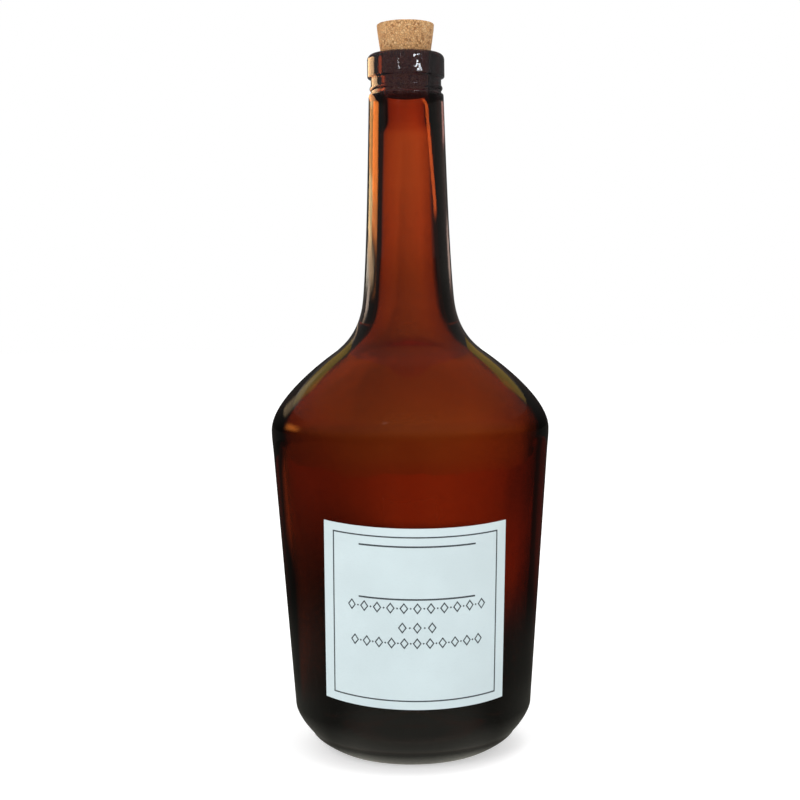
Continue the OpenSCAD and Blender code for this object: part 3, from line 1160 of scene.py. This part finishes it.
class BOTTLE_OT_stage(bpy.types.Operator):
    """Set the floor, the camera, the lamps and the painted light the glass sees round it"""

    bl_idname = "bottle.stage"
    bl_label = "Set Stage"
    sensor = 36
    round_n = 96
    floor_r = 6.0
    drum_r = 1.0
    drum_h = 1.6
    # Radius, lower and upper end of a ring, and how far in its lower edge is drawn.
    lip_ring = (0.03, 0.2545, 0.3, 0.0158)
    neck_ring = (0.03, 0.166, 0.19, 0.0182)
    low_ring = (0.15, 0.0, 0.23, None)
    # Name, place, size and share of the key lamp's power.
    lights = (("key", (-0.5, -1.1, 0.9), 0.7, 1.0), ("top", (0.3, -0.2, 1.4), 0.8, 0.8))
    aim = Vector((0, 0, 0.14))

    def execute(self, context):
        studio = context.scene.bottle_studio
        self.camera(context, studio)
        self.floor()
        self.drum()
        self.rings()
        self.lamps(studio)
        self.world(context, studio)
        context.scene.view_settings.view_transform = "Standard"
        return {"FINISHED"}

    def camera(self, context, studio):
        bpy.ops.object.camera_add(location=(studio.aside, -studio.away, studio.eye))
        camera = context.object
        camera.name = "camera"
        camera.data.lens = studio.lens
        camera.data.sensor_width = self.sensor
        turn = Matrix.Rotation(math.radians(90) - studio.pitch, 3, "X")
        lean = Matrix.Rotation(studio.roll, 3, "Z")
        camera.rotation_euler = (turn @ lean).to_euler()
        context.scene.camera = camera

    def hang(self, piece, material, glass_only=True):
        """Gives a piece of the stage its material; most pieces are there for the glass alone."""
        piece.data.materials.append(material)
        if glass_only:
            hide(piece, "camera", "diffuse", "shadow", "volume_scatter")

    def floor(self):
        """A pale floor: white to the camera, with the bottle's shadow, and with painted shade where
        the glass shows it.
        """
        floor = add(
            "floor", bpy.ops.mesh.primitive_circle_add, vertices=self.round_n,
            radius=self.floor_r, fill_type="NGON",
        )
        sheet = Surround("pale_floor")
        speck = sheet.noise(sheet.place(), 60.0, 3.0)
        cloth = sheet.cloth(sheet.mix(speck, (0.8, 0.8, 0.8), (0.84, 0.84, 0.84)))
        lift = sheet.shine(WHITE, sheet.path("Is Camera Ray") * 0.5)
        pale = sheet.node("ShaderNodeAddShader", {}, {0: cloth, 1: lift})
        # Painted shade and reflection of the floor, for the glass alone.
        dim = sheet.glass_view(sheet.floor_through(), sheet.floor_sheen())
        glass = sheet.path("Is Transmission Ray").most(sheet.path("Is Glossy Ray"))
        self.hang(floor, sheet.finish(sheet.blend(glass, pale, dim)), glass_only=False)

    def drum(self):
        """A drum round the bottle, with a roof, that only the glass sees, glowing with painted
        light, shade and reflections.
        """
        drum = add(
            "cloth_drum", bpy.ops.mesh.primitive_cylinder_add, vertices=self.round_n,
            radius=self.drum_r, depth=self.drum_h,
        )
        into_edit("FACE")
        bpy.ops.transform.translate(value=(0, 0, self.drum_h / 2))
        select(drum, "faces", lambda face: face.calc_center_median().z < MM)
        bpy.ops.mesh.delete(type="FACE")
        out_of_edit()
        sheet = Surround("drum_cloth")
        self.hang(drum, sheet.finish(sheet.glass_view(sheet.through(), sheet.sheen())))

    def ring(self, name, radius, low, high, inner):
        """An open ring round the bottle that only the glass sees, and the painted light on it."""
        ring = add(
            name, bpy.ops.mesh.primitive_cylinder_add, vertices=self.round_n, radius=radius,
            depth=high - low, end_fill_type="NOTHING",
        )
        into_edit("VERT")
        middle = (low + high) / 2
        bpy.ops.transform.translate(value=(0, 0, middle))
        if inner:
            select(ring, "verts", lambda vert: vert.co.z < middle)
            bpy.ops.mesh.extrude_region_move()
            bpy.ops.transform.resize(value=(inner / radius, inner / radius, 1))
        out_of_edit()
        sheet = Surround(name + "_cloth")
        self.hang(ring, sheet.owner)
        return sheet

    def rings(self):
        """Rings of painted glints round the lip and the foot of the neck, and a low one that also
        holds a patch of painted shade.
        """
        lip = self.ring("lip_ring", *self.lip_ring)
        lip.half_seen(lip.mirrored, lip.lip_sheen())
        neck = self.ring("neck_ring", *self.neck_ring)
        below = neck.fade(neck.high, 0.1885, 0.176)
        neck.half_seen(neck.mirrored * below, neck.neck_sheen())
        low = self.ring("low_ring", *self.low_ring)
        below = low.fade(low.high, low.low_top(), low.low_top() - 0.001)
        seen = low.mirrored * below * low.fade(low.high, 0.122, 0.125)
        # Painted shade: a dark patch low behind the bottle, seen only through the glass.
        painted_shade_patch = low.fade(low.wide, 18, 16) * low.fade(low.high, 0.07, 0.06)
        seen = seen.most((1 - low.mirrored) * painted_shade_patch)
        low.half_seen(seen, low.glow(low.low_sheen(), low.mirrored))

    def lamps(self, studio):
        """One wide soft lamp in front and one smaller above, kept out of the glass."""
        for name, at, size, share in self.lights:
            bpy.ops.object.light_add(type="AREA", location=at)
            lamp = bpy.context.object
            lamp.name = name
            lamp.data.shape = "DISK"
            lamp.data.size = size
            lamp.data.energy = studio.key * share
            lamp.rotation_euler = (self.aim - Vector(at)).to_track_quat("-Z", "Y").to_euler()
            hide(lamp, "glossy", "transmission", "camera")

    def world(self, context, studio):
        """White behind everything; soft room light for what isn't glass."""
        context.scene.world = bpy.data.worlds.new("studio")
        sheet = Sheet(context.scene.world)
        seen = sheet.path("Is Camera Ray")
        for name in ("Is Glossy Ray", "Is Transmission Ray"):
            seen = seen.most(sheet.path(name))
        strength = seen + (1 - seen) * studio.room
        light = sheet.node("ShaderNodeBackground", {}, {"Color": WHITE, "Strength": strength})
        sheet.finish(light, kind="ShaderNodeOutputWorld")


class BOTTLE_PT_panel(bpy.types.Panel):
    """The bottle's steps and settings"""

    bl_idname = "BOTTLE_PT_panel"
    bl_label = "Bottle"
    bl_space_type = "VIEW_3D"
    bl_region_type = "UI"
    bl_category = "Bottle"

    def draw(self, context):
        for step in STEPS:
            self.layout.operator(step.bl_idname)
        for name, group in GROUPS.items():
            box = self.layout.box()
            box.label(text=group.__doc__)
            settings = getattr(context.scene, name)
            for key in group.__annotations__:
                box.prop(settings, key)


GROUPS = {
    "bottle_glass": BottleGlass,
    "bottle_cork": BottleCork,
    "bottle_label": BottleLabel,
    "bottle_studio": BottleStudio,
}
STEPS = (BOTTLE_OT_glass, BOTTLE_OT_cork, BOTTLE_OT_label, BOTTLE_OT_print, BOTTLE_OT_stage)


def register():
    for cls in (*GROUPS.values(), *STEPS, BOTTLE_PT_panel):
        bpy.utils.register_class(cls)
    for name, group in GROUPS.items():
        setattr(bpy.types.Scene, name, PointerProperty(type=group))


def unregister():
    for name in GROUPS:
        delattr(bpy.types.Scene, name)
    for cls in reversed((*GROUPS.values(), *STEPS, BOTTLE_PT_panel)):
        bpy.utils.unregister_class(cls)


def main():
    register()
    bpy.ops.bottle.glass()
    bpy.ops.bottle.cork()
    bpy.ops.bottle.label()
    bpy.ops.bottle.print()
    bpy.ops.bottle.stage()


if __name__ == "__main__":
    main()
